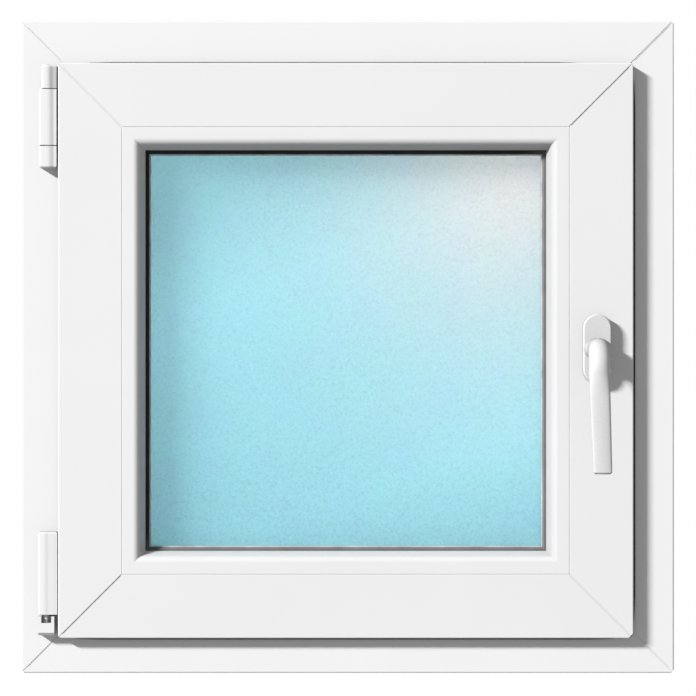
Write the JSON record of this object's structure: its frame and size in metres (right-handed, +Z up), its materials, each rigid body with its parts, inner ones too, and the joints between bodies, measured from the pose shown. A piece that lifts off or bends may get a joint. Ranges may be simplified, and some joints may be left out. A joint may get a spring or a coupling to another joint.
{
  "type": "tilt and turn window",
  "caption": "Square white plastic tilt and turn window with welded frame and sash, frosted double glazing, side hinges and a lever handle that locks it.",
  "frame": {"origin": "centre of the frame's underside", "axes": "+Z up, +X towards the lock side as seen from the room, -Y towards the room, +Y outdoors"},
  "size_m": [0.6, 0.1394, 0.6],
  "materials": {
    "frame_upvc": "smooth white window profile, low gloss",
    "sash_upvc": "smooth white window profile, low gloss",
    "bead_upvc": "smooth white glazing bead, low gloss",
    "hinge_cover": "white moulded hinge covers",
    "handle_enamel": "white enamelled cast handle",
    "hinge_steel": "plated steel",
    "seal_rubber": "black weather seal",
    "gasket_rubber": "dark glazing gasket",
    "spacer_metal": "bare spacer bar",
    "frosted_glass": "pale cyan obscured glass with a fine grain",
    "clear_glass": "clear float glass"
  },
  "bodies": {
    "window": {"frame_head": "frame_upvc", "frame_sill": "frame_upvc", "frame_jamb_left": "frame_upvc", "frame_jamb_right": "frame_upvc", "frame_seal": "seal_rubber", "sash_seal": "seal_rubber", "sash_top_rail": "sash_upvc", "sash_bottom_rail": "sash_upvc", "sash_hinge_stile": "sash_upvc", "sash_lock_stile": "sash_upvc", "bead_top": "bead_upvc", "bead_bottom": "bead_upvc", "bead_left": "bead_upvc", "bead_right": "bead_upvc", "inner_pane": "clear_glass", "outer_pane": "frosted_glass", "spacer_frame": "spacer_metal", "glazing_gasket_inside": "gasket_rubber", "glazing_gasket_outside": "gasket_rubber", "top_hinge_stay_arm": "hinge_cover", "top_hinge_cap": "hinge_cover", "top_hinge_bearing": "hinge_cover", "top_hinge_pin": "hinge_steel", "bottom_hinge_bearing": "hinge_cover", "bottom_hinge_pivot": "hinge_steel", "bottom_hinge_sleeve": "hinge_cover", "handle_rosette": "handle_enamel", "drain_cap_left": "frame_upvc", "drain_cap_right": "frame_upvc"},
    "handle": {"handle_lever": "handle_enamel", "handle_spindle": "hinge_steel"}
  },
  "joints": [
    {"name": "handle_turn", "type": "hinge", "parent": "window", "child": "handle", "pos_m": [0.2279, -0.059, 0.298], "axis": [0, 1, 0], "range_deg": [0, 180]}
  ]
}
